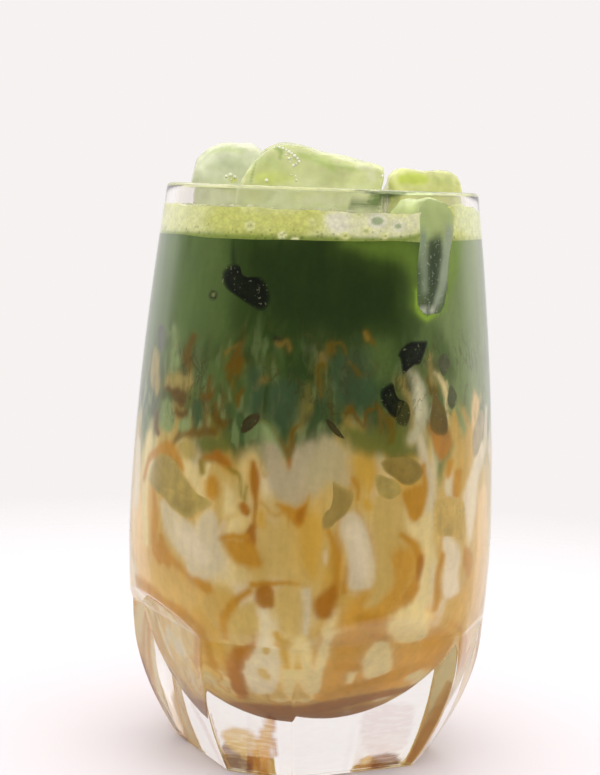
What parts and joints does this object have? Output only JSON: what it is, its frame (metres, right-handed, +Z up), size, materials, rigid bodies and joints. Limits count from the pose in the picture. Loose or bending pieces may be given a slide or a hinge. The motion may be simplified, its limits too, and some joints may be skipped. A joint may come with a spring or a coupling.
{
  "type": "iced matcha latte",
  "caption": "Iced matcha latte over syrup-marbled milk, in a barrel-shaped clear tumbler with a faceted base, with froth and ice on top.",
  "frame": {"origin": "centre of the flat underside of the glass", "axes": "+Z up along the axis of the glass, -Y towards the side that faces the viewer"},
  "size_m": [0.0842, 0.0842, 0.1395],
  "materials": {
    "clear_glass": "clear polished glass",
    "syrup": "dark brown sugar syrup",
    "milk": "milk marbled with amber syrup",
    "matcha": "opaque dark green tea",
    "foam": "pale green froth with fine bubbles",
    "ice": "wet, slightly cloudy ice"
  },
  "bodies": {
    "root": {"glass": "clear_glass", "syrup": "syrup", "milk": "milk", "matcha": "matcha", "foam": "foam", "ice_left": "ice", "ice_middle": "ice", "ice_right": "ice", "ice_wall": "ice"}
  },
  "joints": []
}
